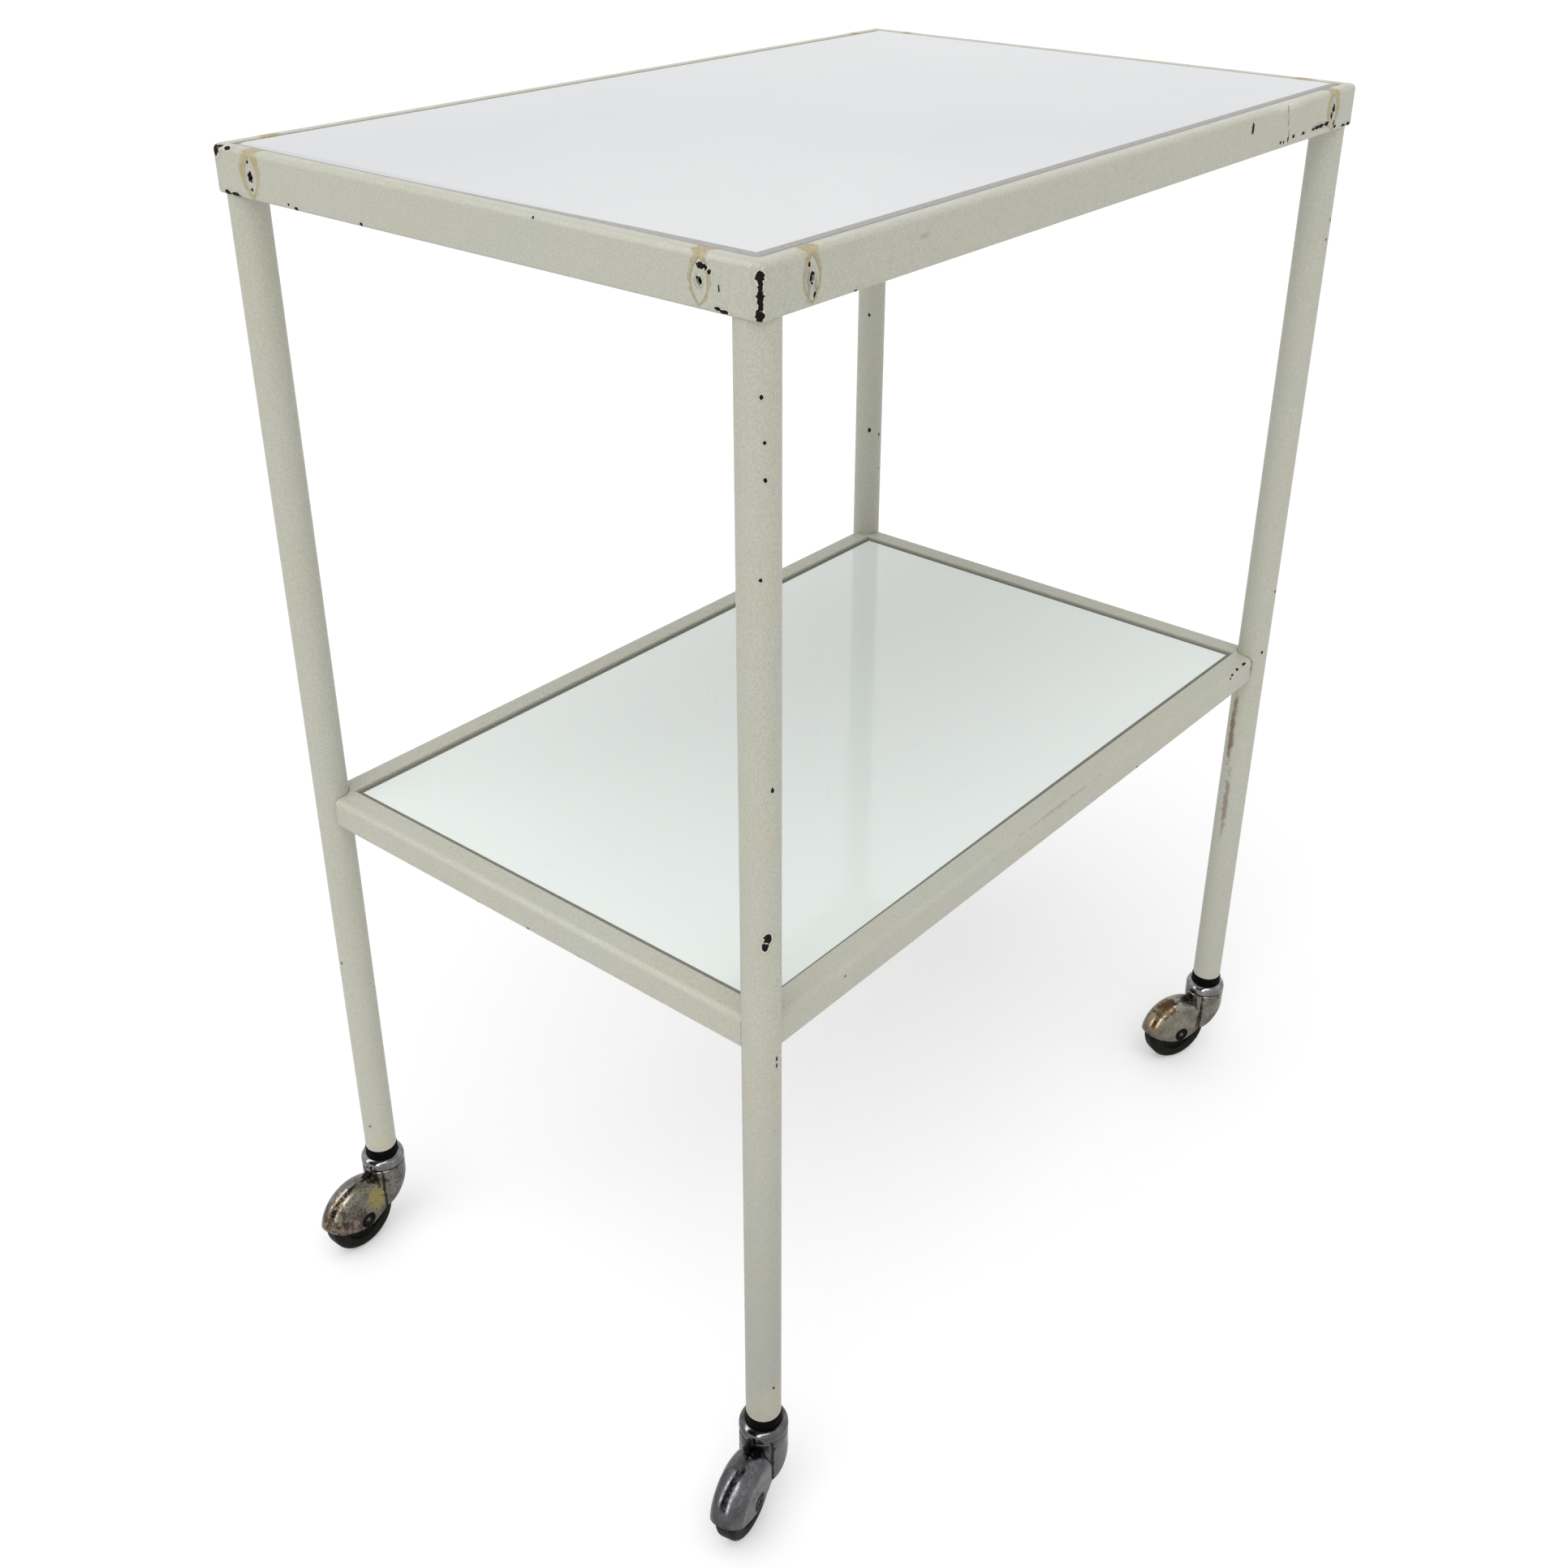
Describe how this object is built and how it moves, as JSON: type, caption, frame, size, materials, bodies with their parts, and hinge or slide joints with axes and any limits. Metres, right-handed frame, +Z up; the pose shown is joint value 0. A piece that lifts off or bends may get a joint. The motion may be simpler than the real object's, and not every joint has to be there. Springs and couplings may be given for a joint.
{
  "type": "wheeled instrument table",
  "caption": "Wheeled instrument table: painted tube frame, opal glass top and lower shelf, and hooded swivel casters with chrome collars",
  "frame": {"origin": "on the floor, under the middle between the four legs, 0.6 mm from the centre of the bounding box", "axes": "+Z up and the longest extent, +X along the long side to the right, +Y from the front long side to the back"},
  "size_m": [0.6902, 0.4134, 0.7912],
  "materials": {
    "enamel": "cream enamel, aged, chipped",
    "top_glass": "opaque white opal glass, polished",
    "shelf_glass": "opaque greenish white opal glass, polished",
    "chrome": "tarnished chrome plating",
    "steel": "bare steel, dull",
    "plastic": "black, satin",
    "rubber": "black, worn"
  },
  "bodies": {
    "table": {"top_rail_front": "enamel", "top_rail_back": "enamel", "top_rail_left": "enamel", "top_rail_right": "enamel", "top_corner_front_left": "enamel", "top_corner_front_right": "enamel", "top_corner_back_left": "enamel", "top_corner_back_right": "enamel", "joint_plate_front_left_long_side": "enamel", "joint_rivet_front_left_long_side": "steel", "joint_plate_front_left_short_side": "enamel", "joint_rivet_front_left_short_side": "steel", "joint_plate_front_right_long_side": "enamel", "joint_rivet_front_right_long_side": "steel", "joint_plate_front_right_short_side": "enamel", "joint_rivet_front_right_short_side": "steel", "joint_plate_back_left_long_side": "enamel", "joint_rivet_back_left_long_side": "steel", "joint_plate_back_left_short_side": "enamel", "joint_rivet_back_left_short_side": "steel", "joint_plate_back_right_long_side": "enamel", "joint_rivet_back_right_long_side": "steel", "joint_plate_back_right_short_side": "enamel", "joint_rivet_back_right_short_side": "steel", "shelf_rail_front": "enamel", "shelf_rail_back": "enamel", "shelf_rail_left": "enamel", "shelf_rail_right": "enamel", "leg_front_left": "enamel", "leg_front_right": "enamel", "leg_back_left": "enamel", "leg_back_right": "enamel", "top_glass": "top_glass", "shelf_glass": "shelf_glass", "caster_plug_front_left": "plastic", "caster_stem_front_left": "steel", "caster_collar_front_left": "chrome", "caster_plug_front_right": "plastic", "caster_stem_front_right": "steel", "caster_collar_front_right": "chrome", "caster_plug_back_left": "plastic", "caster_stem_back_left": "steel", "caster_collar_back_left": "chrome", "caster_plug_back_right": "plastic", "caster_stem_back_right": "steel", "caster_collar_back_right": "chrome"},
    "caster_front_left": {"caster_hood_front_left": "chrome", "caster_axle_front_left": "steel"},
    "wheel_front_left": {"caster_wheel_front_left": "rubber"},
    "caster_front_right": {"caster_hood_front_right": "chrome", "caster_axle_front_right": "steel"},
    "wheel_front_right": {"caster_wheel_front_right": "rubber"},
    "caster_back_left": {"caster_hood_back_left": "chrome", "caster_axle_back_left": "steel"},
    "wheel_back_left": {"caster_wheel_back_left": "rubber"},
    "caster_back_right": {"caster_hood_back_right": "chrome", "caster_axle_back_right": "steel"},
    "wheel_back_right": {"caster_wheel_back_right": "rubber"}
  },
  "joints": [
    {"name": "front_left_swivel", "type": "hinge", "parent": "table", "child": "caster_front_left", "pos_m": [-0.288, -0.185, 0.06], "axis": [0, 0, 1], "continuous": true},
    {"name": "front_left_roll", "type": "hinge", "parent": "caster_front_left", "child": "wheel_front_left", "pos_m": [-0.31434, -0.19094, 0.02627], "axis": [0.2198, -0.9755, 0], "continuous": true},
    {"name": "front_right_swivel", "type": "hinge", "parent": "table", "child": "caster_front_right", "pos_m": [0.288, -0.185, 0.06], "axis": [0, 0, 1], "continuous": true},
    {"name": "front_right_roll", "type": "hinge", "parent": "caster_front_right", "child": "wheel_front_right", "pos_m": [0.26371, -0.17321, 0.02627], "axis": [-0.4368, -0.8996, 0], "continuous": true},
    {"name": "back_left_swivel", "type": "hinge", "parent": "table", "child": "caster_back_left", "pos_m": [-0.288, 0.185, 0.06], "axis": [0, 0, 1], "continuous": true},
    {"name": "back_left_roll", "type": "hinge", "parent": "caster_back_left", "child": "wheel_back_left", "pos_m": [-0.315, 0.18472, 0.02627], "axis": [0.0105, -0.9999, 0], "continuous": true},
    {"name": "back_right_swivel", "type": "hinge", "parent": "table", "child": "caster_back_right", "pos_m": [0.288, 0.185, 0.06], "axis": [0, 0, 1], "continuous": true},
    {"name": "back_right_roll", "type": "hinge", "parent": "caster_back_right", "child": "wheel_back_right", "pos_m": [0.31434, 0.19094, 0.02627], "axis": [-0.2198, 0.9755, 0], "continuous": true}
  ]
}
